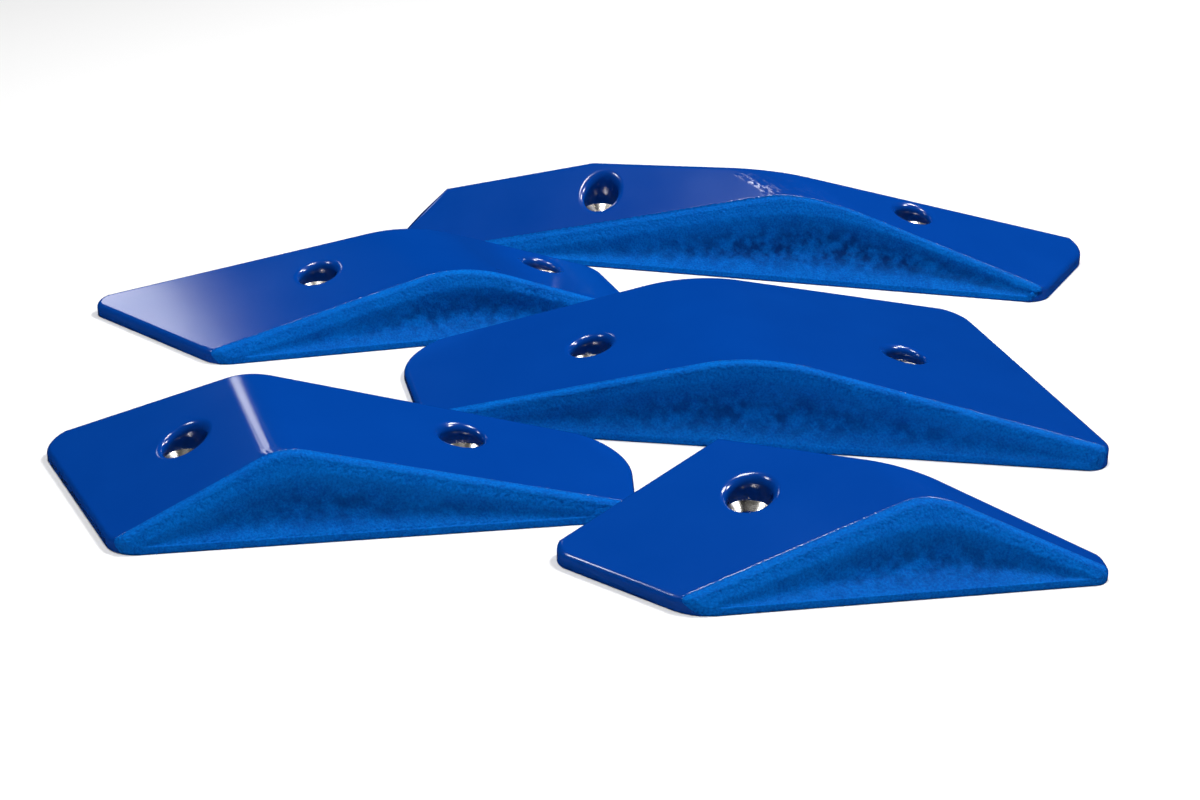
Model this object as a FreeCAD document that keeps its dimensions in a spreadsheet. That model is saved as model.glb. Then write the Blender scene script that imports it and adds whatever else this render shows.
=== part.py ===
import FreeCAD, Part
import math
import os

import Sketcher

# A set of five climbing holds for an indoor wall, lying flat on their backs.
# Each hold is one polyurethane casting: two smooth facets meet at a soft crest, and a leaning
# front face with a scoop under its lip is the part that fingers pull on. Every bolt hole has a
# steel cup washer cast into it. Units are millimetres; +Z points away from the wall.
#
# Each hold is drawn in its own frame: X runs along the foot of its gripping face, Y runs away
# from that face, Z = 0 is the flat back that bears on the wall. The outline goes round
# anticlockwise, and every sloping face is hinged on one edge of that outline.

SHARED = {
    "rim_height": 3.0,           # upright band between the back and a leaning face
    "top_edge_radius": 3.0,      # rounding where the facets turn over into the sides
    "bore_diameter": 17.0,       # counterbore that takes the 16 mm head of an M10 cap screw
    "mouth_radius": 2.5,         # rounding at the mouth of the counterbore
    "washer_diameter": 22.0,     # cast-in rim of the cup washer, wider than the counterbore
    "washer_height": 5.0,
    "washer_hole": 11.0,         # clearance hole for an M10 screw
    "washer_cone": 17.0,         # mouth of the conical seat
    "washer_cone_depth": 3.0,
    "shank_hole": 12.0,          # hole through the casting below the washer
    "scoop_stand_off": 9.0,      # how far the scoop's centre stands in front of the face
}

# Outline corners: name: (x, y, corner radius). Slopes are in degrees from the back.
# Holes: name: (x, distance from the foot of the gripping face to the near side of the counterbore,
# height of the washer's underside above the back).
HOLDS = {
    "front_left": {
        "place": (-218.8, -171.6, 8.2),
        "corners": {
            "left_front": (37.5, 0.0, 14.0),
            "right_front": (233.0, 0.0, 14.0),
            "right_back": (239.0, 57.5, 28.0),
            "left_back": (0.0, 98.0, 9.0),
        },
        "shape": {
            "left_end_height": 4.5,
            "right_end_height": 5.5,
            "left_slope": 23.4,
            "right_slope": 11.6,
            "face_slope": 65.0,
            "back_slope": 87.0,
            "crest_radius": 30.0,
        },
        "scoop": {"along": 125.0, "up": 10.5, "half_length": 50.0, "half_height": 7.5, "depth": 4.0},
        "holes": {"left": (63.0, 41.5, 9.0), "right": (170.0, 36.5, 6.5)},
    },
    "front_right": {
        "place": (-16.0, -216.5, 8.7),
        "corners": {
            "left_front": (46.5, 0.0, 22.0),
            "right_front": (200.0, 0.0, 6.0),
            "right_back": (201.0, 13.5, 6.0),
            "middle_back": (72.5, 95.5, 16.0),
            "left_back": (0.0, 48.5, 9.0),
        },
        "shape": {
            "left_end_height": 5.5,
            "right_end_height": 4.5,
            "left_slope": 16.8,
            "right_slope": 22.0,
            "face_slope": 52.0,
            "back_slope": 68.0,
            "crest_radius": 34.0,
        },
        "scoop": {"along": 125.0, "up": 12.0, "half_length": 36.0, "half_height": 7.5, "depth": 4.0},
        "holes": {"middle": (77.0, 39.5, 9.5)},
    },
    "centre": {
        "place": (-104.3, -53.1, -8.3),
        "corners": {
            "left_front": (28.0, 0.0, 14.0),
            "right_front": (313.5, 0.0, 9.0),
            "right_back": (251.0, 144.5, 16.0),
            "left_back": (0.0, 69.5, 24.0),
        },
        "shape": {
            "left_end_height": 4.5,
            "right_end_height": 8.0,
            "left_slope": 13.4,
            "right_slope": 12.3,
            "face_slope": 70.0,
            "back_slope": 81.0,
            "crest_radius": 100.0,
        },
        "scoop": {"along": 168.0, "up": 12.5, "half_length": 82.0, "half_height": 8.0, "depth": 4.5},
        "holes": {"left": (92.5, 36.5, 9.5), "right": (226.0, 51.5, 8.0)},
    },
    "rear_left": {
        "place": (-230.1, -6.7, 13.5),
        "corners": {
            "left_front": (58.0, 0.0, 16.0),
            "right_front": (256.0, 0.0, 12.0),
            "right_back": (247.5, 66.5, 12.0),
            "left_back": (0.0, 82.0, 7.0),
        },
        "shape": {
            "left_end_height": 5.5,
            "right_end_height": 5.5,
            "left_slope": 13.8,
            "right_slope": 18.2,
            "face_slope": 60.0,
            "back_slope": 87.0,
            "crest_radius": 70.0,
        },
        "scoop": {"along": 160.0, "up": 12.0, "half_length": 58.0, "half_height": 8.0, "depth": 4.5},
        "holes": {"left": (109.5, 38.0, 9.5), "right": (216.5, 39.5, 5.0)},
    },
    "rear_right": {
        "place": (-184.7, 169.6, -12.7),
        "corners": {
            "left_front": (127.0, 0.0, 120.0),
            "right_front": (405.0, 0.0, 12.0),
            "right_back": (428.0, 76.0, 18.0),
            "middle_back": (168.0, 79.0, 30.0),
            "left_back": (78.0, 47.0, 7.0),
            "left_end": (78.0, 7.5, 8.0),
        },
        "shape": {
            "left_end_height": 4.5,
            "right_end_height": 6.5,
            "left_slope": 36.9,
            "right_slope": 15.5,
            "face_slope": 59.0,
            "back_slope": 46.0,
            "crest_radius": 38.0,
        },
        "scoop": {"along": 285.0, "up": 15.0, "half_length": 72.0, "half_height": 9.0, "depth": 5.0},
        "holes": {"left": (181.5, 18.5, 16.0), "right": (338.0, 29.5, 15.0)},
    },
}

# Reach of the cutting tools. They pass right through a hold and leave no size of their own.
BLOCK_HEIGHT = 90.0
CUT_REACH = 700.0
BELOW = 2.0

# How near two sizes or places have to be to count as the same one.
SAME = 1e-3

doc = FreeCAD.newDocument("climbing_holds")
sheet = doc.addObject("Spreadsheet::Sheet", "dims")


class Size:
    """A length, with the expression that gives it from the sheet's cells."""

    def __init__(self, value, text):
        self.value = value
        self.text = text

    def __add__(self, other):
        return Size(self.value + other.value, f"({self.text} + {other.text})")

    def __sub__(self, other):
        return Size(self.value - other.value, f"({self.text} - {other.text})")

    def half(self):
        return Size(self.value / 2, f"{self.text} / 2")


def cell(name):
    return Size(getattr(sheet, name), f"dims.{name}")


def fixed(value):
    return Size(value, str(value))


def fill_sheet():
    """Write every driving size into its own named cell."""
    cells = dict(SHARED)
    for hold, sizes in HOLDS.items():
        cells.update(zip((f"{hold}_x", f"{hold}_y", f"{hold}_turn"), sizes["place"]))
        for corner, values in sizes["corners"].items():
            names = (f"{hold}_{corner}_{word}" for word in ("along", "back", "radius"))
            cells.update(zip(names, values))
        for hole, values in sizes["holes"].items():
            names = (f"{hold}_{hole}_hole_{word}" for word in ("along", "near", "seat"))
            cells.update(zip(names, values))
        for word, value in sizes["scoop"].items():
            cells[f"{hold}_scoop_{word}"] = value
        for word, value in sizes["shape"].items():
            cells[f"{hold}_{word}"] = value
    for row, (alias, value) in enumerate(cells.items(), start=1):
        sheet.set(f"A{row}", alias)
        sheet.set(f"B{row}", str(value))
        sheet.setAlias(f"B{row}", alias)
    doc.recompute()


def origin_plane(body, role):
    """The body's own origin plane with this role."""
    return next(f for f in body.Origin.OriginFeatures if f.Role == role)


def add_sketch(body, name, role):
    sketch = body.newObject("Sketcher::SketchObject", name)
    sketch.AttachmentSupport = (origin_plane(body, role), [""])
    sketch.MapMode = "FlatFace"
    return sketch


def add_polygon(sketch, points):
    """Closed chain of lines through pairs of Sizes, each corner tied to its pair."""
    for start, end in zip(points, points[1:] + points[:1]):
        ends = [FreeCAD.Vector(across.value, up.value, 0) for across, up in (start, end)]
        sketch.addGeometry(Part.LineSegment(*ends), False)
    for i, (across, up) in enumerate(points):
        following = (i + 1) % len(points)
        sketch.addConstraint(Sketcher.Constraint("Coincident", i, 2, following, 1))
        tie(sketch, i, "DistanceX", across, -2)
        tie(sketch, i, "DistanceY", up, -1)


def tie(sketch, line, kind, size, axis):
    """Hold the start of a line at its size from the origin, or on the axis when that is nought."""
    if size.value == 0:
        sketch.addConstraint(Sketcher.Constraint("PointOnObject", line, 1, axis))
    else:
        made = sketch.addConstraint(Sketcher.Constraint(kind, -1, 1, line, 1, size.value))
        sketch.setExpression(f"Constraints[{made}]", size.text)


def offset(along, back, up, yaw, roll):
    """Expression for a placement: a position, then a turn about Z, then a tilt about X."""
    return (
        f"create(<<placement>>; create(<<vector>>; {along}; {back}; {up}); "
        f"create(<<rotation>>; {yaw}; 0; {roll}))"
    )


def check_cut(body):
    """Recompute, and make sure that the newest feature took something away."""
    doc.recompute()
    before = body.Tip.BaseFeature.Shape.Volume
    assert 0 < body.Tip.Shape.Volume < before, f"{body.Tip.Label} cuts nothing"


def add_block(body, hold, corners):
    """The outline of the hold's back, raised to a block that the faces are cut from."""
    sketch = add_sketch(body, f"{hold}_outline", "XY_Plane")
    names = [f"{hold}_{corner}" for corner in corners]
    add_polygon(sketch, [(cell(f"{n}_along"), cell(f"{n}_back")) for n in names])
    pad = body.newObject("PartDesign::Pad", f"{hold}_block")
    pad.Profile = sketch
    pad.Length = BLOCK_HEIGHT
    doc.recompute()


def round_corners(body, hold, corners):
    """Round each upright edge of the block by that corner's own radius."""
    for corner in corners:
        x, y = (cell(f"{hold}_{corner}_{word}").value for word in ("along", "back"))
        edges = [
            f"Edge{i}"
            for i, edge in enumerate(body.Tip.Shape.Edges, start=1)
            if all(math.hypot(v.X - x, v.Y - y) < SAME for v in edge.Vertexes)
        ]
        add_fillet(body, f"{hold}_{corner}_corner", edges, f"dims.{hold}_{corner}_radius")


def add_fillet(body, name, edges, radius):
    """Round these edges of the newest solid."""
    assert edges, f"{name} finds no edge"
    solid = body.Tip
    fillet = body.newObject("PartDesign::Fillet", name)
    fillet.Base = (solid, edges)
    fillet.setExpression("Radius", radius)
    doc.recompute()


def sloped_cut(body, hold, name, start, end, height, slope):
    """Cut away all above a plane that is hinged on the outline edge from start to end."""
    ax, ay = f"dims.{hold}_{start}_along", f"dims.{hold}_{start}_back"
    bx, by = f"dims.{hold}_{end}_along", f"dims.{hold}_{end}_back"
    sketch = add_sketch(body, f"{hold}_{name}_plane", "XY_Plane")
    low, high = fixed(-CUT_REACH), fixed(CUT_REACH)
    add_polygon(sketch, [(low, low), (high, low), (high, high), (low, high)])
    yaw = f"atan2({by} - {ay}; {bx} - {ax})"
    sketch.setExpression("AttachmentOffset", offset(ax, ay, f"dims.{height}", yaw, f"dims.{slope}"))
    doc.recompute()
    cut = body.newObject("PartDesign::Pocket", f"{hold}_{name}")
    cut.Profile = sketch
    cut.Type = "Length"
    cut.Length = CUT_REACH
    cut.Reversed = True
    check_cut(body)


def cut_faces(body, hold, corners):
    """The two smooth facets, the leaning front face, and the leaning faces at the back."""
    names = list(corners)
    sloped_cut(
        body, hold, "left_facet", names[-1], names[0],
        f"{hold}_left_end_height", f"{hold}_left_slope",
    )
    sloped_cut(
        body, hold, "right_facet", names[1], names[2],
        f"{hold}_right_end_height", f"{hold}_right_slope",
    )
    sloped_cut(body, hold, "front_face", names[0], names[1], "rim_height", f"{hold}_face_slope")
    for start, end in zip(names[2:], names[3:]):
        sloped_cut(body, hold, f"{start}_face", start, end, "rim_height", f"{hold}_back_slope")


def slope_of(face):
    """Tilt of a face from the back, in degrees."""
    u_low, u_high, v_low, v_high = face.ParameterRange
    normal = face.normalAt((u_low + u_high) / 2, (v_low + v_high) / 2)
    return math.degrees(math.acos(min(1.0, abs(normal.z))))


def top_faces(solid, hold):
    """The two smooth facets and, once it is rounded, the crest between them."""
    slopes = [cell(f"{hold}_{side}_slope").value for side in ("left", "right")]
    crest = cell(f"{hold}_crest_radius").value
    found = []
    for face in solid.Faces:
        surface = face.Surface
        if isinstance(surface, Part.Plane):
            chosen = any(abs(slope_of(face) - slope) < SAME for slope in slopes)
        else:
            chosen = isinstance(surface, Part.Cylinder) and abs(surface.Radius - crest) < SAME
        if chosen:
            found.append(face)
    return found


def edges_on(solid, faces, count):
    """Names of the edges that have this many of the faces beside them."""
    names = []
    for i, edge in enumerate(solid.Edges, start=1):
        beside = solid.ancestorsOfType(edge, Part.Face)
        if sum(any(b.isSame(f) for f in faces) for b in beside) == count:
            names.append(f"Edge{i}")
    return names


def round_crest(body, hold):
    """Soften the ridge where the two facets meet."""
    solid = body.Tip.Shape
    edges = edges_on(solid, top_faces(solid, hold), 2)
    add_fillet(body, f"{hold}_crest", edges, f"dims.{hold}_crest_radius")


def round_top_edge(body, hold):
    """Round the whole outline of the facets, where they turn over into the sides."""
    solid = body.Tip.Shape
    edges = edges_on(solid, top_faces(solid, hold), 1)
    add_fillet(body, f"{hold}_top_edge", edges, "dims.top_edge_radius")


def cut_scoop(body, hold):
    """Finger hollow under the lip: an ellipsoid sunk into the leaning front face."""
    slope = f"dims.{hold}_face_slope"
    off = "dims.scoop_stand_off"
    up, depth = f"dims.{hold}_scoop_up", f"dims.{hold}_scoop_depth"
    share = f"sqrt(1 - ({off} / ({off} + {depth}))^2)"
    cutter = body.newObject("PartDesign::SubtractiveEllipsoid", f"{hold}_scoop")
    cutter.AttachmentSupport = (origin_plane(body, "XY_Plane"), [""])
    cutter.MapMode = "FlatFace"
    back = f"{up} * cos({slope}) - {off} * sin({slope})"
    height = f"dims.rim_height + {up} * sin({slope}) + {off} * cos({slope})"
    cutter.setExpression(
        "AttachmentOffset", offset(f"dims.{hold}_scoop_along", back, height, "0", f"{slope} - 90")
    )
    cutter.setExpression("Radius1", f"dims.{hold}_scoop_half_height / {share}")
    cutter.setExpression("Radius2", f"dims.{hold}_scoop_half_length / {share}")
    cutter.setExpression("Radius3", f"{off} + {depth}")
    check_cut(body)


def hole_back(name):
    """How far the hole's axis stands behind the foot of the gripping face."""
    return f"dims.{name}_near + dims.bore_diameter / 2"


def cut_hole(body, hold, hole):
    """Counterbore, cast-in seat of the washer and shank hole, turned about one upright axis."""
    name = f"{hold}_{hole}_hole"
    seat = cell(f"{name}_seat")
    shank, rim, bore = (
        cell(word).half() for word in ("shank_hole", "washer_diameter", "bore_diameter")
    )
    washer_top = seat + cell("washer_height")
    axis, floor, top = fixed(0.0), fixed(-BELOW), fixed(BLOCK_HEIGHT)
    sketch = add_sketch(body, f"{name}_profile", "XZ_Plane")
    add_polygon(sketch, [
        (axis, floor), (shank, floor), (shank, seat), (rim, seat),
        (rim, washer_top), (bore, washer_top), (bore, top), (axis, top),
    ])
    sketch.setExpression(
        "AttachmentOffset", offset(f"dims.{name}_along", "0", f"-({hole_back(name)})", "0", "0")
    )
    groove = body.newObject("PartDesign::Groove", name)
    groove.Profile = sketch
    groove.ReferenceAxis = (sketch, ["V_Axis"])
    groove.Angle = 360.0
    check_cut(body)


def round_mouths(body, hold):
    """Round the mouth of every counterbore where it opens on a facet."""
    solid = body.Tip.Shape
    radius = cell("bore_diameter").half().value
    bores = [
        face for face in solid.Faces
        if isinstance(face.Surface, Part.Cylinder) and abs(face.Surface.Radius - radius) < SAME
    ]
    rims = set(edges_on(solid, bores, 1)) & set(edges_on(solid, top_faces(solid, hold), 1))
    add_fillet(body, f"{hold}_mouths", sorted(rims), "dims.mouth_radius")


def hold_place(hold):
    return offset(f"dims.{hold}_x", f"dims.{hold}_y", "0", f"dims.{hold}_turn", "0")


def add_hold(hold):
    """One casting, cut from a block: facets, crest, rounded edges, scoop and bolt holes."""
    body = doc.addObject("PartDesign::Body", f"hold_{hold}")
    corners = HOLDS[hold]["corners"]
    add_block(body, hold, corners)
    round_corners(body, hold, corners)
    cut_faces(body, hold, corners)
    round_crest(body, hold)
    round_top_edge(body, hold)
    cut_scoop(body, hold)
    for hole in HOLDS[hold]["holes"]:
        cut_hole(body, hold, hole)
    round_mouths(body, hold)
    body.setExpression("Placement", hold_place(hold))
    return body


def add_washer(hold, hole):
    """Steel cup washer: a flat ring with a conical seat for the screw's head."""
    body = doc.addObject("PartDesign::Body", f"washer_{hold}_{hole}")
    foot = fixed(0.0)
    inner, outer, cone = (
        cell(word).half() for word in ("washer_hole", "washer_diameter", "washer_cone")
    )
    top = cell("washer_height")
    throat = top - cell("washer_cone_depth")
    sketch = add_sketch(body, f"{hold}_{hole}_washer_profile", "XZ_Plane")
    add_polygon(sketch, [(inner, foot), (outer, foot), (outer, top), (cone, top), (inner, throat)])
    ring = body.newObject("PartDesign::Revolution", f"{hold}_{hole}_ring")
    ring.Profile = sketch
    ring.ReferenceAxis = (sketch, ["V_Axis"])
    ring.Angle = 360.0
    name = f"{hold}_{hole}_hole"
    seat = offset(f"dims.{name}_along", hole_back(name), f"dims.{name}_seat", "0", "0")
    body.setExpression("Placement", f"{hold_place(hold)} * {seat}")
    doc.recompute()
    return body


def export(bodies):
    """Check the whole document, then write each piece to its own file."""
    failed = [o.Name for o in doc.Objects if {"Invalid", "Error"} & set(o.State)]
    assert not failed, f"features failed: {failed}"
    os.makedirs("parts", exist_ok=True)
    for body in bodies:
        shape = body.Shape
        assert not shape.isNull() and shape.isValid() and len(shape.Solids) == 1, body.Label
    for body in bodies:
        body.Shape.exportStep(f"parts/{body.Label}.step")
        box = body.Shape.BoundBox
        low, high = (box.XMin, box.YMin, box.ZMin), (box.XMax, box.YMax, box.ZMax)
        print(body.Label, *(f"{a:.1f}..{b:.1f}" for a, b in zip(low, high)))


fill_sheet()
castings = [add_hold(hold) for hold in HOLDS]
washers = [add_washer(hold, hole) for hold in HOLDS for hole in HOLDS[hold]["holes"]]
doc.recompute()
export(castings + washers)
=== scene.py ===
# %% [markdown]
# # A set of cast climbing holds
#
# Five blue climbing holds lie on a white table. Each one is a single polyurethane casting: two
# glossy facets meet at a soft crest, and a rough gripping face leans back under a rounded lip, with
# a hollow for the finger tips. Steel washers sit at the bottom of the bolt holes.
#
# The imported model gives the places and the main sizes. The washers are kept as they are and get a
# better finish. The castings are modelled again, because their rough face, rounded lip and hollow
# are what the eye looks for.

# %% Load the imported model
import math

import bmesh
import bpy
from mathutils import Euler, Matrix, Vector


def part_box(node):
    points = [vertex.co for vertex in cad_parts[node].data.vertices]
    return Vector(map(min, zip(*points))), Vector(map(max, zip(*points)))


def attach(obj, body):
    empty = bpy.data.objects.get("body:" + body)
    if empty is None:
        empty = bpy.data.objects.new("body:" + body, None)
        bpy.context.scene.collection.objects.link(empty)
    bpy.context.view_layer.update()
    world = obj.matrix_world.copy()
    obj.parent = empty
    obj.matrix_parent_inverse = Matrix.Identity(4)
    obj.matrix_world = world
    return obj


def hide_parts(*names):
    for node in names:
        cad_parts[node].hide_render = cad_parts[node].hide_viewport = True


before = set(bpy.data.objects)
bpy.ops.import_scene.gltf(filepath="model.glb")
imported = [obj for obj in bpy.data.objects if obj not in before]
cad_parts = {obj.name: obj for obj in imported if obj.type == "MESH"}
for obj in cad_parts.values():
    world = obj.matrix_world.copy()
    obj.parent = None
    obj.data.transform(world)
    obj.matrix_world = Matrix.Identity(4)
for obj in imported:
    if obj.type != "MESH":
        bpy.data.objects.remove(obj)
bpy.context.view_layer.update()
MM = 0.001
HOLDS = [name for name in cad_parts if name.startswith("hold_")]
WASHERS = [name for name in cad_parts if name.startswith("washer_")]
print("castings:", len(HOLDS), "washers:", len(WASHERS))

# %% [markdown]
# ## Small helpers
#
# Edit-mode operators work on whatever is selected, so every step starts by deselecting all and then
# selects faces, edges or points by a rule. `editing` opens one piece and closes it again.

# %% Helpers for edit mode
from contextlib import contextmanager


@contextmanager
def editing(piece, mode="FACE"):
    bpy.ops.object.select_all(action="DESELECT")
    bpy.context.view_layer.objects.active = piece
    piece.select_set(True)
    bpy.ops.object.mode_set(mode="EDIT")
    bpy.ops.mesh.select_mode(type=mode)
    yield
    bpy.ops.object.mode_set(mode="OBJECT")


def select(piece, kind, rule):
    """Select the faces, edges or points that the rule picks, and nothing else."""
    bpy.ops.mesh.select_all(action="DESELECT")
    mesh = bmesh.from_edit_mesh(piece.data)
    mesh.normal_update()
    chosen = [element for element in getattr(mesh, kind) if rule(element)]
    for element in chosen:
        element.select_set(True)
    mesh.select_flush_mode()
    bmesh.update_edit_mesh(piece.data)
    return len(chosen)


def apply_modifier(piece, kind, **settings):
    """Add a modifier, set it up, and apply it."""
    bpy.context.view_layer.objects.active = piece
    modifier = piece.modifiers.new(kind.title(), kind)
    for name, value in settings.items():
        setattr(modifier, name, value)
    bpy.ops.object.modifier_apply(modifier=modifier.name)


# %% [markdown]
# ## Reading the flat faces of a casting
#
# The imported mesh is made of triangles, but its large flat faces are easy to find: triangles with the
# same direction and the same distance from the origin lie on one plane. Only the facets and the
# leaning faces are larger than a few square centimetres, so the area tells them from the slices of
# the rounded parts.

# %% Find the planes of a casting
SAME_DIRECTION = 0.003
SAME_LEVEL = 0.05 * MM
UPRIGHT_BELOW = 0.03
LEVEL_ABOVE = 0.995
LEAST_FACE_AREA = 550 * MM * MM
LEAST_FACET_RISE = 0.75
CREST_EASE = 5 * MM


class Plane:
    """A flat face: the direction it looks in, and a point on it."""

    def __init__(self, normal, point):
        self.normal = normal
        self.point = point

    def depth(self, place):
        """How far a place lies behind the plane."""
        return (self.point - place).dot(self.normal)

    def holds(self, normal, point):
        """Whether a triangle with this direction and this corner lies in the plane."""
        near = abs(self.depth(point)) < SAME_LEVEL
        return near and (self.normal - normal).length < SAME_DIRECTION


def large_planes(mesh):
    """The sloping planes of a mesh that hold a large area, the largest first."""
    found = []
    for face in mesh.polygons:
        normal = face.normal.copy()
        point = mesh.vertices[face.vertices[0]].co.copy()
        for entry in found:
            if entry[1].holds(normal, point):
                entry[0] += face.area
                break
        else:
            found.append([face.area, Plane(normal, point)])
    found.sort(key=lambda entry: -entry[0])
    sloping = [entry for entry in found if UPRIGHT_BELOW < entry[1].normal.z < LEVEL_ABOVE]
    return [plane for area, plane in sloping if area > LEAST_FACE_AREA]


class Shape:
    """The planes of one casting, sorted by what they are."""

    def __init__(self, node):
        planes = large_planes(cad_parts[node].data)
        self.facets = [p for p in planes if p.normal.z > LEAST_FACET_RISE]
        leaning = [p for p in planes if p.normal.z <= LEAST_FACET_RISE]
        self.face = next(p for p in leaning if p.normal.y < 0)
        self.along = Vector((-self.face.normal.y, self.face.normal.x, 0)).normalized()
        self.lip_angle = min(self.face.normal.angle(facet.normal) for facet in self.facets)

    def top_depth(self, place):
        """How far a place lies under the nearer facet."""
        return min(facet.depth(place) for facet in self.facets)

    def soft_depth(self, place):
        """The same, but easing over from one facet to the other, as the crest does."""
        depths = [facet.depth(place) / CREST_EASE for facet in self.facets]
        least = min(depths)
        return CREST_EASE * (least - math.log(sum(math.exp(least - d) for d in depths)))


SHAPES = {node: Shape(node) for node in HOLDS}
for node, shape in SHAPES.items():
    angle = round(math.degrees(shape.lip_angle))
    print(node, "facets:", len(shape.facets), "least angle at the lip:", angle, "degrees")

# %% [markdown]
# ## The blank
#
# Apart from its hollow and its bolt holes, a hold has no dents: it is a convex body with rounded
# edges. So the blank is made from a copy of the imported mesh, merged first. The convex hull operator
# stretches a skin over it, which closes the holes and the hollow and keeps the rounded edges. Flat
# regions are then dissolved into one face each, ready for the cuts that follow. Bevelling a sawn
# cube instead would tangle the many short edges round the corners.

# %% Make the blanks
MERGE_WITHIN = 0.01 * MM
FLAT_WITHIN = math.radians(0.3)


def blank(node):
    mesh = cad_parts[node].data.copy()
    mesh.materials.clear()
    piece = bpy.data.objects.new(node + "_casting", mesh)
    bpy.context.scene.collection.objects.link(piece)
    with editing(piece):
        bpy.ops.mesh.select_all(action="SELECT")
        bpy.ops.mesh.remove_doubles(threshold=MERGE_WITHIN)
        bpy.ops.mesh.convex_hull(delete_unused=True, use_existing_faces=False)
        bpy.ops.mesh.select_all(action="SELECT")
        bpy.ops.mesh.dissolve_limited(angle_limit=FLAT_WITHIN)
    return piece


castings = {node: blank(node) for node in HOLDS}
for node, piece in castings.items():
    print(node, "faces:", len(piece.data.polygons))

# %% [markdown]
# ## Bolt holes
#
# A counterbore takes the screw's head, and the washer is cast in below it. The tool that leaves
# this hole is a turned pin. Its outline could be spun round the axis, but it has few steps, so a
# disc is raised from level to level instead, and made wider or narrower at each one. The washer's
# box gives the axis and both levels. The boolean cuts the pin out, and the mouth is bevelled round,
# which is where the lamps glint.

# %% Cut the bolt holes
PIN_TOP = 80 * MM
PIN_FOOT = -5 * MM
BORE_RADIUS = 8.5 * MM
SHANK_RADIUS = 6 * MM
MOUTH_BEVEL = 3.2 * MM
MOUTH_STEPS = 6
UPRIGHT = 0.05
TOP_RISE = 0.4
ON_THE_BORE = 0.2 * MM
PIN_STEPS = 64


def turned_pin(low, high):
    """The shape of the hole round one washer, whose box has these corners."""
    middle = (low + high) / 2
    rim = (high.x - low.x) / 2
    levels = [
        (SHANK_RADIUS, PIN_FOOT),
        (SHANK_RADIUS, low.z),
        (rim, low.z),
        (rim, high.z),
        (BORE_RADIUS, high.z),
        (BORE_RADIUS, PIN_TOP),
    ]
    bpy.ops.mesh.primitive_circle_add(
        vertices=PIN_STEPS, radius=SHANK_RADIUS, fill_type="NGON",
        location=(middle.x, middle.y, PIN_FOOT),
    )
    pin = bpy.context.object
    with editing(pin):
        bpy.ops.mesh.select_all(action="SELECT")
        for (radius, level), (next_radius, next_level) in zip(levels, levels[1:]):
            bpy.ops.mesh.extrude_region_move(
                TRANSFORM_OT_translate={"value": (0, 0, next_level - level)}
            )
            growth = next_radius / radius
            bpy.ops.transform.resize(value=(growth, growth, 1))
        bpy.ops.mesh.select_all(action="SELECT")
        bpy.ops.mesh.normals_make_consistent(inside=False)
    return pin


def is_mouth(edge, axes):
    """An edge of a counterbore where it opens on the top: upright wall one side, top the other."""
    if len(edge.link_faces) != 2:
        return False
    wall, top = sorted(face.normal.z for face in edge.link_faces)
    if abs(wall) > UPRIGHT or top < TOP_RISE:
        return False
    middle = (edge.verts[0].co + edge.verts[1].co) / 2
    reaches = [math.hypot(middle.x - x, middle.y - y) for x, y in axes]
    return any(abs(reach - BORE_RADIUS) < ON_THE_BORE for reach in reaches)


def cut_holes(node, piece):
    axes = []
    own = [w for w in WASHERS if w.startswith(node.replace("hold_", "washer_") + "_")]
    for washer in own:
        low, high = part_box(washer)
        axes.append(((low.x + high.x) / 2, (low.y + high.y) / 2))
        pin = turned_pin(low, high)
        apply_modifier(piece, "BOOLEAN", object=pin, operation="DIFFERENCE", solver="EXACT")
        bpy.data.objects.remove(pin)
    with editing(piece, "EDGE"):
        count = select(piece, "edges", lambda e: is_mouth(e, axes))
        bpy.ops.mesh.bevel(
            offset_type="OFFSET", offset=MOUTH_BEVEL, segments=MOUTH_STEPS, profile=0.5,
            clamp_overlap=False,
        )
    print(node, "holes:", len(own), "mouth edges:", count)


for node, piece in castings.items():
    cut_holes(node, piece)

# %% [markdown]
# ## A fine mesh for the gripping face
#
# The rough face needs real relief, so it needs small triangles, while the glossy facets stay as
# large flat faces. A cut parallel to the gripping face marks off the front strip. Straight cuts
# divide the strip into small cells, and then each cell is split further.

# %% Divide the front strip
CELL = 4 * MM
SPLITS = 5
STRIP_DEPTH = 8 * MM
UNDERSIDE = -0.5


def in_strip(face, shape):
    near = shape.face.depth(face.calc_center_median()) < STRIP_DEPTH
    return near and face.normal.z > UNDERSIDE


def slice_selected(point, normal):
    bpy.ops.mesh.bisect(plane_co=point, plane_no=normal, use_fill=False)


def divide_front(node, piece):
    shape = SHAPES[node]
    low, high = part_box(node)
    inward = -shape.face.normal
    with editing(piece):
        select(piece, "faces", lambda f: f.normal.z > UNDERSIDE)
        slice_selected(shape.face.point + inward * STRIP_DEPTH, inward)
        reach = (high - low).length
        middle = (low + high) / 2
        steps = int(reach / CELL / 2)
        for step in range(-steps, steps + 1):
            place = middle + shape.along * (step * CELL)
            select(piece, "faces", lambda f: in_strip(f, shape))
            slice_selected(place, shape.along)
        for step in range(1, int((high.z - low.z) / CELL) + 1):
            select(piece, "faces", lambda f: in_strip(f, shape))
            slice_selected(Vector((0, 0, step * CELL)), Vector((0, 0, 1)))
        select(piece, "faces", lambda f: in_strip(f, shape))
        bpy.ops.mesh.quads_convert_to_tris(quad_method="BEAUTY", ngon_method="BEAUTY")
        bpy.ops.mesh.subdivide(number_cuts=SPLITS, smoothness=0)
    print(node, "faces in all:", len(piece.data.polygons))


for node, piece in castings.items():
    divide_front(node, piece)

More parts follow.
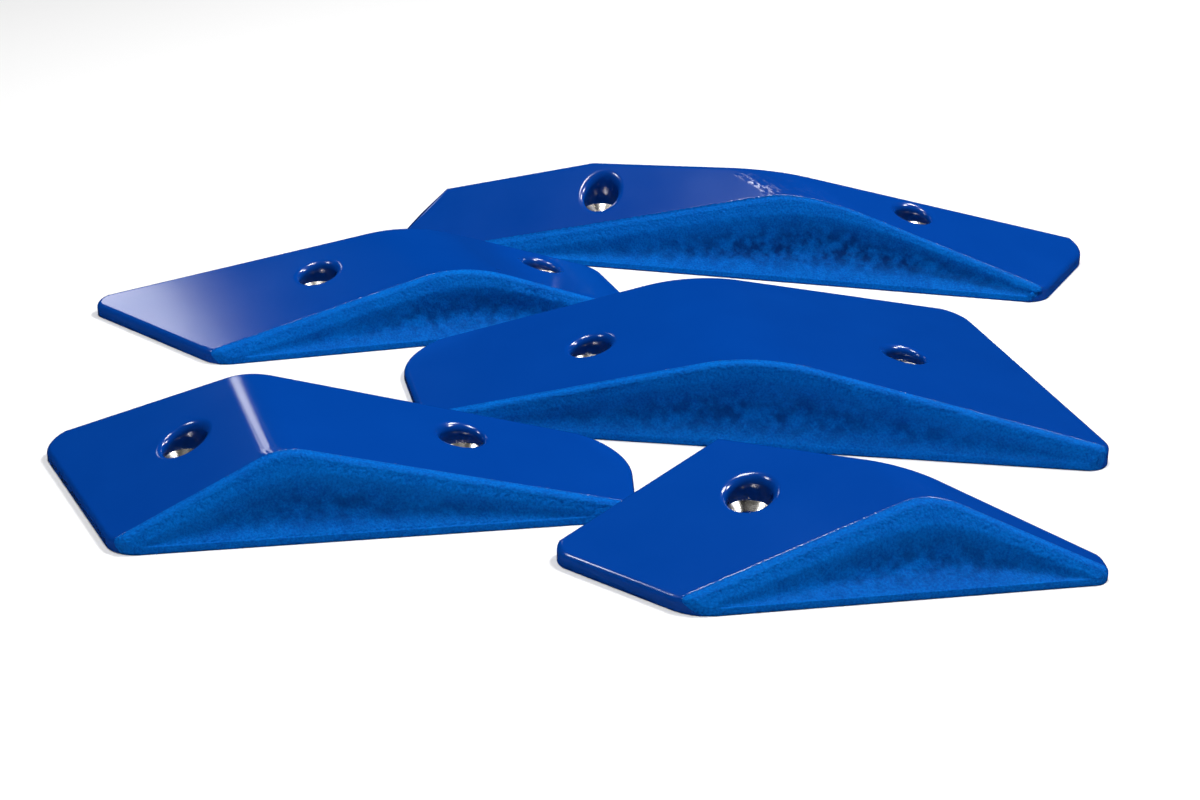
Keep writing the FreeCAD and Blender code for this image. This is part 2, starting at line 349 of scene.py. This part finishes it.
# %% [markdown]
# ## Lip, hollow and grain
#
# The lip is worn smooth in the pattern: a Smooth modifier rounds it, held by a vertex group that
# fades out where the hold gets thin. Then one more cut, parallel to the face, marks the line where
# the polish ends. A Displace modifier sets the rough skin back a little, so that no grain stands out
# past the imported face. A second one presses in the hollow: it starts softly under the lip, is
# deepest about half way down and runs out at the foot. Clumps and grain are two more, with cloud
# textures, like the coarse sand that is stuck to the pattern before the mould is made.

# %% Shape the gripping face
LIP_REACH = 6 * MM
LIP_PASSES = 120
WIDE_LIP = math.radians(45)
LIP_FADES = (3 * MM, 8 * MM)
LIP_BAND = 5 * MM
FOOT = 2 * MM
HOLLOW_SHARE = 0.17
HOLLOW_MOST = 5.5 * MM
HOLLOW_LEAN = 1.05
HOLLOW_SOFTNESS = 1.4
POLISH_WIDTH = 3.4 * MM
SKIN_STEP = 0.4 * MM
CLUMP_SIZE = 4.5 * MM
CLUMP_HEIGHT = 1.4 * MM
GRAIN_SIZE = 1.1 * MM
GRAIN_HEIGHT = 0.5 * MM


def clamp(value):
    return max(0.0, min(1.0, value))


def weigh(piece, name, rule):
    """A vertex group whose weight at each point comes from a rule."""
    group = piece.vertex_groups.new(name=name)
    for vertex in piece.data.vertices:
        weight = rule(vertex.co)
        if weight > 0.001:
            group.add([vertex.index], weight, "REPLACE")
    return group.name


def lip_weight(shape, place):
    """Full at the lip, nothing a lip's reach away from it or near the table."""
    distance = shape.top_depth(place) + shape.face.depth(place)
    reach = LIP_REACH * min(1.0, math.sin(shape.lip_angle) / math.sin(WIDE_LIP))
    none, full = LIP_FADES
    return clamp(2 - 2 * distance / reach) * clamp((place.z - none) / (full - none))


def hollow_weight(shape, place):
    """How far a point of the face is pressed in, as a share of the deepest place."""
    if shape.face.depth(place) > FOOT:
        return 0.0
    main_angle = shape.facets[0].normal.angle(shape.face.normal)
    below_lip = shape.soft_depth(place) / math.sin(main_angle)
    above_foot = (place.z - FOOT) / math.hypot(shape.face.normal.x, shape.face.normal.y)
    room = below_lip + above_foot - LIP_BAND
    if room <= 0:
        return 0.0
    share = clamp((below_lip - LIP_BAND) / room)
    depth = min(HOLLOW_SHARE * room, HOLLOW_MOST)
    return depth / HOLLOW_MOST * math.sin(math.pi * share**HOLLOW_LEAN) ** HOLLOW_SOFTNESS


def displace(piece, group, distance, texture=None):
    """Move a group's points along their normals; a texture moves them both ways."""
    apply_modifier(
        piece, "DISPLACE", strength=distance, mid_level=0.5 if texture else 0, direction="NORMAL",
        vertex_group=group, texture=texture, texture_coords="LOCAL",
    )


def keep_as_attribute(piece, group, name):
    """Write a vertex group's weights to an attribute that a material can read."""
    attribute = piece.data.attributes.new(name, "FLOAT", "POINT")
    index = piece.vertex_groups[group].index
    for vertex in piece.data.vertices:
        own = [entry.weight for entry in vertex.groups if entry.group == index]
        attribute.data[vertex.index].value = own[0] if own else 0.0


def clouds(name, size):
    texture = bpy.data.textures.new(name, "CLOUDS")
    texture.noise_scale = size
    texture.noise_depth = 2
    return texture


def in_front(face, shape, depth):
    return face.normal.z > UNDERSIDE and shape.face.depth(face.center) < depth


def mark_polish_line(piece, shape):
    """Cut along the line where the polish ends. Gives the rough faces and the points inside."""
    depth = POLISH_WIDTH * math.sin(shape.lip_angle)
    inward = -shape.face.normal
    with editing(piece):
        select(piece, "faces", lambda f: in_strip(f, shape))
        slice_selected(shape.face.point + inward * depth, inward)
        select(piece, "faces", lambda f: in_strip(f, shape))
        bpy.ops.mesh.quads_convert_to_tris(quad_method="BEAUTY", ngon_method="BEAUTY")
    rough = [f.index for f in piece.data.polygons if in_front(f, shape, depth)]
    known = set(rough)
    inside = set()
    outside = set()
    for face in piece.data.polygons:
        side = inside if face.index in known else outside
        side.update(face.vertices)
    return rough, list(inside - outside)


def shape_front(node, piece):
    shape = SHAPES[node]
    hollow = weigh(piece, "hollow", lambda place: hollow_weight(shape, place))
    lip = weigh(piece, "lip", lambda place: lip_weight(shape, place))
    apply_modifier(piece, "SMOOTH", factor=0.5, iterations=LIP_PASSES, vertex_group=lip)
    rough, inside = mark_polish_line(piece, shape)
    piece.vertex_groups.new(name="skin").add(inside, 1.0, "REPLACE")
    displace(piece, "skin", -SKIN_STEP)
    displace(piece, hollow, -HOLLOW_MOST)
    displace(piece, hollow, CLUMP_HEIGHT, clouds(node + "_clumps", CLUMP_SIZE))
    displace(piece, "skin", GRAIN_HEIGHT, clouds(node + "_sand", GRAIN_SIZE))
    # Keep the hollow's depth on the piece; the grip material paints shade spots into the hollow by it.
    keep_as_attribute(piece, hollow, "coarse")
    piece.data.materials.append(gloss)
    piece.data.materials.append(grip)
    for index in rough:
        piece.data.polygons[index].material_index = 1
    piece.vertex_groups.clear()
    print(node, "rough faces:", len(rough), "faces in all:", len(piece.data.polygons))


# %% [markdown]
# ## Finishes
#
# Colours are written as the sRGB hex values a paint shop would use, and one function turns them
# linear. One more function adds a node with its settings and links.

# %% Helpers for materials


def linear(code):
    """A six-figure sRGB hex colour as linear RGBA."""
    parts = [int(code[i : i + 2], 16) / 255 for i in (0, 2, 4)]
    curve = [p / 12.92 if p <= 0.04045 else ((p + 0.055) / 1.055) ** 2.4 for p in parts]
    return (*curve, 1.0)


def add_node(material, kind, inputs=None, **settings):
    """Add a node. Inputs maps a socket's name to a value or to another node's output."""
    tree = material.node_tree
    node = tree.nodes.new("ShaderNode" + kind)
    for name, value in settings.items():
        setattr(node, name, value)
    for name, value in (inputs or {}).items():
        if isinstance(value, bpy.types.NodeSocket):
            tree.links.new(value, node.inputs[name])
        else:
            node.inputs[name].default_value = value
    return node


def new_material(name):
    material = bpy.data.materials.new(name)
    material.use_nodes = True
    material.node_tree.nodes.remove(material.node_tree.nodes["Principled BSDF"])
    return material


def finish_with(material, shader):
    output = material.node_tree.nodes["Material Output"]
    material.node_tree.links.new(shader.outputs["BSDF"], output.inputs["Surface"])


# %% [markdown]
# Polished polyurethane: cast against a smooth mould, so it shines, but the resin shrinks a little as
# it cures. That leaves a faint orange peel, about nine millimetres wide, and an uneven gloss.

# %% Polished polyurethane


def polished_polyurethane():
    material = new_material("polished_polyurethane")
    place = add_node(material, "TexCoord").outputs["Object"]
    peel = add_node(
        material, "TexNoise", {"Vector": place, "Scale": 1 / (9 * MM), "Detail": 1.0}
    )
    haze = add_node(
        material, "TexNoise", {"Vector": place, "Scale": 1 / (35 * MM), "Detail": 3.0}
    )
    colour = add_node(
        material, "MixRGB",
        {"Fac": haze.outputs["Fac"], "Color1": linear("003C95"), "Color2": linear("00429E")},
    )
    roughness = add_node(
        material, "MapRange",
        {"Value": haze.outputs["Fac"], "To Min": 0.12, "To Max": 0.2},
    )
    bump = add_node(
        material, "Bump",
        {"Height": peel.outputs["Fac"], "Strength": 0.25, "Distance": 0.05 * MM},
    )
    shader = add_node(
        material, "BsdfPrincipled",
        {
            "Base Color": colour.outputs["Color"],
            "Roughness": roughness.outputs["Result"],
            "IOR": 1.49,
            "Normal": bump.outputs["Normal"],
        },
    )
    finish_with(material, shader)
    return material


gloss = polished_polyurethane()

# %% [markdown]
# Sanded polyurethane: the same resin, cast against a gritty pattern. Every grain scatters the light,
# so it looks brighter where it faces the lamps. The colour follows the same grit as the bump,
# so the pits between the grains are also darker by painted shade, mixed with a random patchy tone.
# Real grit is finer; the grain here is about a millimetre wide so that it shows. In the hollow,
# dark spots about five millimetres wide are painted shade, stronger where the hollow is deeper.
# The piece's own attribute, written when the hollow is pressed in, says where.

# %% Sanded polyurethane


def sanded_polyurethane():
    material = new_material("sanded_polyurethane")
    place = add_node(material, "TexCoord").outputs["Object"]
    grit = add_node(
        material, "TexNoise", {"Vector": place, "Scale": 1 / (0.9 * MM), "Detail": 3.0}
    )
    patch = add_node(
        material, "TexNoise", {"Vector": place, "Scale": 1 / (14 * MM), "Detail": 2.0}
    )
    # The grit share darkens the pits between the grains, which is painted shade; the patch share is a
    # random tone.
    grit_shade_and_patch = add_node(
        material, "MixRGB",
        {"Fac": 0.25, "Color1": grit.outputs["Fac"], "Color2": patch.outputs["Fac"]},
    )
    colour = add_node(
        material, "MapRange",
        {"Value": grit_shade_and_patch.outputs["Color"], "From Min": 0.35, "From Max": 0.65},
    )
    tint_with_pit_shade = add_node(
        material, "MixRGB",
        {"Fac": colour.outputs["Result"], "Color1": linear("0050AA"), "Color2": linear("006AC8")},
    )
    # Painted shade: dark spots in the hollow, scaled by the hollow's depth stored on the piece.
    coarse = add_node(material, "Attribute", attribute_name="coarse").outputs["Fac"]
    shade_spot_noise = add_node(
        material, "TexNoise", {"Vector": place, "Scale": 1 / (5 * MM), "Detail": 4.0}
    )
    clumps = add_node(
        material, "MapRange",
        {
            "Value": shade_spot_noise.outputs["Fac"],
            "From Min": 0.4,
            "From Max": 0.62,
            "To Min": 0.2,
            "To Max": 0.95,
        },
    )
    painted_shade_spots = add_node(
        material, "Math", {0: clumps.outputs["Result"], 1: coarse}, operation="MULTIPLY"
    )
    shaded = add_node(
        material, "MixRGB",
        {
            "Fac": painted_shade_spots.outputs["Value"],
            "Color1": tint_with_pit_shade.outputs["Color"],
            "Color2": linear("002C6C"),
        },
    )
    bump = add_node(
        material, "Bump",
        {"Height": grit.outputs["Fac"], "Strength": 0.6, "Distance": 0.35 * MM},
    )
    shader = add_node(
        material, "BsdfPrincipled",
        {
            "Base Color": shaded.outputs["Color"],
            "Roughness": 0.6,
            "IOR": 1.49,
            "Specular IOR Level": 0.02,
            "Normal": bump.outputs["Normal"],
        },
    )
    finish_with(material, shader)
    return material


grip = sanded_polyurethane()

# %% [markdown]
# Zinc-plated steel: the plating is bright enough to mirror the lamps, and the crystals in it leave
# cloudy patches. They are drawn about 2.5 mm wide, coarser than real ones, so that they show.

# %% Plated steel


def plated_steel():
    material = new_material("plated_steel")
    place = add_node(material, "TexCoord").outputs["Object"]
    cloud = add_node(
        material, "TexNoise", {"Vector": place, "Scale": 1 / (2.5 * MM), "Detail": 4.0}
    )
    colour = add_node(
        material, "MixRGB",
        {"Fac": cloud.outputs["Fac"], "Color1": linear("B9B4AC"), "Color2": linear("E4E0DA")},
    )
    roughness = add_node(
        material, "MapRange", {"Value": cloud.outputs["Fac"], "To Min": 0.16, "To Max": 0.34}
    )
    bump = add_node(
        material, "Bump",
        {"Height": cloud.outputs["Fac"], "Strength": 0.3, "Distance": 0.1 * MM},
    )
    shader = add_node(
        material, "BsdfPrincipled",
        {
            "Base Color": colour.outputs["Color"],
            "Metallic": 1.0,
            "Roughness": roughness.outputs["Result"],
            "Normal": bump.outputs["Normal"],
        },
    )
    finish_with(material, shader)
    return material


steel = plated_steel()
for name in WASHERS:
    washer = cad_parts[name]
    washer.data.materials.clear()
    washer.data.materials.append(steel)

# %% [markdown]
# ## Finish the castings
#
# The steps above come together here. Once its front is shaped, each casting is shaded smooth, apart
# from edges sharper than 50 degrees, and weighted normals keep the large facets looking flat.

# %% Finish the castings
for node, piece in castings.items():
    shape_front(node, piece)
    bpy.ops.object.select_all(action="DESELECT")
    bpy.context.view_layer.objects.active = piece
    piece.select_set(True)
    bpy.ops.object.shade_smooth_by_angle(angle=math.radians(50))
    apply_modifier(piece, "WEIGHTED_NORMAL", keep_sharp=True, weight=80)
    body = node.replace("hold_", "")
    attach(piece, body)
    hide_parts(node)

# %% [markdown]
# ## Table and lamps
#
# The table is a plain white sheet, kept out of reflections so that the rims stay dark. Two small,
# strong softboxes hang overhead. A weak lamp far behind on the left draws a line of light along the
# crest of the front left hold, and a sheen on the left end of the rear left one. Two cards that only
# show as reflections put glints on the mouths of the bolt holes. A weak fill in front lifts the
# hollows. The room itself is dark, which keeps the facets a deep blue.

# %% Table and lamps
ROOM_GLOW = 0.006
MIDDLE = (0, 0, 0)
bpy.ops.object.select_all(action="DESELECT")
bpy.ops.mesh.primitive_plane_add(size=12, location=(0, 0, -0.0002))
table = bpy.context.object
table.name = "table"
table.visible_glossy = False
table_white = new_material("white_table")
finish_with(
    table_white,
    add_node(table_white, "BsdfPrincipled", {"Base Color": linear("F6F6F6"), "Roughness": 0.9}),
)
table.data.materials.append(table_white)


def softbox(name, place, aim, size, power):
    light = bpy.data.lights.new(name, "AREA")
    light.shape = "RECTANGLE"
    light.size, light.size_y = size
    light.energy = power
    lamp = bpy.data.objects.new(name, light)
    bpy.context.scene.collection.objects.link(lamp)
    lamp.location = place
    lamp.rotation_euler = (Vector(aim) - Vector(place)).to_track_quat("-Z", "Y").to_euler()
    return lamp


softbox("left_softbox", (-0.15, -0.1, 1.7), MIDDLE, (0.45, 0.45), 20)
softbox("right_softbox", (0.9, 0.45, 1.7), MIDDLE, (0.45, 0.45), 29)
softbox("far_strip", (-1.4, 2.15, 1.7), (0, -0.1, 0), (0.3, 0.5), 3)
for side, power in ((-1, 10), (1, 24)):
    card = softbox("glint_card", (1.5 * side, -0.2, 1.5), MIDDLE, (0.35, 0.35), power)
    card.visible_diffuse = False
fill = softbox("front_fill", (0.1, -1.3, 0.9), MIDDLE, (1.6, 1.0), 1.5)
fill.visible_glossy = False

world = bpy.data.worlds.new("room")
bpy.context.scene.world = world
world.use_nodes = True
world.node_tree.nodes["Background"].inputs["Color"].default_value = linear("FFFFFF")
world.node_tree.nodes["Background"].inputs["Strength"].default_value = ROOM_GLOW
bpy.context.scene.view_settings.view_transform = "Standard"

# %% [markdown]
# ## Camera
#
# The camera stands a little under a metre away and looks down at 25 degrees from in front. That is
# near enough for the front holds to look larger than the ones behind, and a 60 mm lens fills the
# picture with the set.

# %% Camera
CAMERA_HEIGHT = 364 * MM
CAMERA_BACK = 810 * MM
CAMERA_ASIDE = 2.3 * MM
PITCH_DOWN = 25

camera_data = bpy.data.cameras.new("camera")
camera_data.lens = 60
camera_data.sensor_width = 36
camera = bpy.data.objects.new("camera", camera_data)
bpy.context.scene.collection.objects.link(camera)
camera.location = (-CAMERA_ASIDE, -CAMERA_BACK, CAMERA_HEIGHT)
camera.rotation_euler = Euler((math.radians(90 - PITCH_DOWN), 0, 0))
bpy.context.scene.camera = camera
